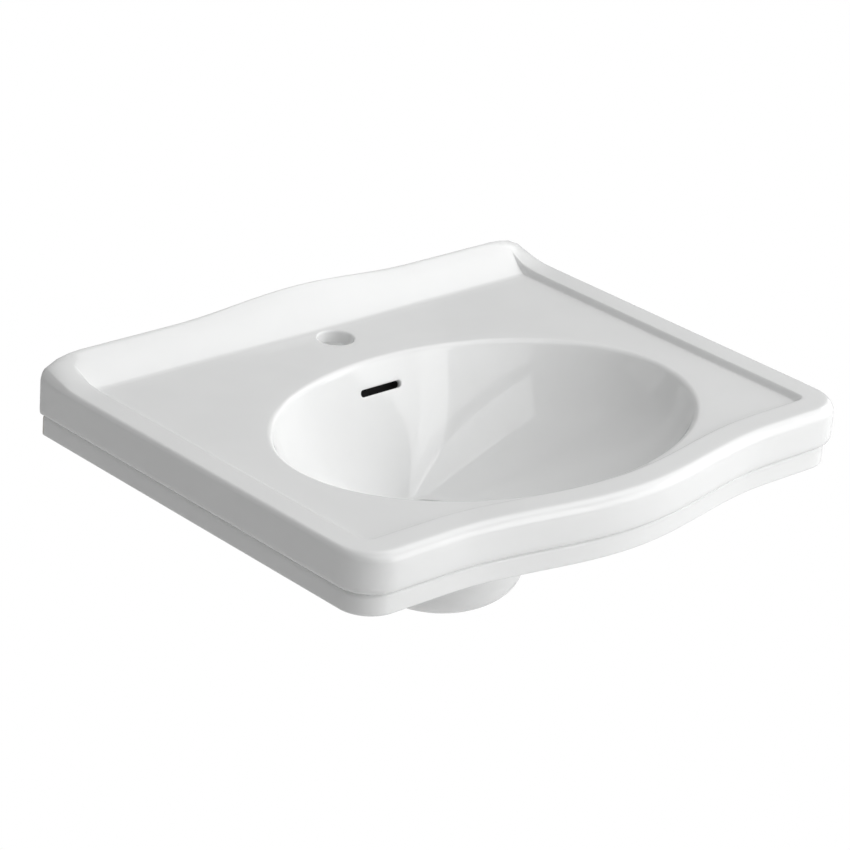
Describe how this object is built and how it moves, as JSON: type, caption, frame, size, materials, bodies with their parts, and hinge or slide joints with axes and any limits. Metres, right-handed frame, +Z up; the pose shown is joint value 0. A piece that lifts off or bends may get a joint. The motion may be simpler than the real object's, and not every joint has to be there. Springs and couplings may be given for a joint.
{
  "type": "washbasin",
  "caption": "White china washbasin with a bow front, raised rim, back upstand, oval bowl, overflow slot, tap hole, wall fixings and a push-open waste.",
  "frame": {"origin": "middle of the flat back face, at the height of the top of the rim", "axes": "+Z up, +Y into the wall, -Y towards the user, +X to the user's right"},
  "size_m": [0.6, 0.5455, 0.2524],
  "materials": {
    "glaze": "white gloss glaze on vitreous china",
    "chrome": "polished chrome plate",
    "brass": "turned brass, bare",
    "zinc": "bright zinc-plated steel",
    "rubber": "black moulded rubber",
    "white_nylon": "natural white nylon",
    "grey_nylon": "grey moulded nylon"
  },
  "bodies": {
    "basin_fixed": {"basin_bowl": "glaze", "basin_deck": "glaze", "basin_skirt": "glaze", "basin_apron": "glaze", "waste_body": "chrome", "waste_top_gasket": "rubber", "waste_bottom_gasket": "rubber", "waste_slip_washer": "white_nylon", "waste_backnut": "chrome", "plug_cartridge": "brass", "plug_spring": "zinc", "hanger_stud_left": "zinc", "wall_plug_left": "grey_nylon", "fixing_bush_left": "white_nylon", "fixing_washer_left": "zinc", "fixing_nut_left": "zinc", "hanger_stud_right": "zinc", "wall_plug_right": "grey_nylon", "fixing_bush_right": "white_nylon", "fixing_washer_right": "zinc", "fixing_nut_right": "zinc"},
    "plug": {"plug_cap": "chrome", "plug_seal": "rubber", "plug_stem": "brass"}
  },
  "joints": [
    {"name": "plug_lift", "type": "slide", "parent": "basin_fixed", "child": "plug", "axis": [0, 0, 1], "range_m": [0, 0.008], "deforming": ["plug_spring"]}
  ]
}
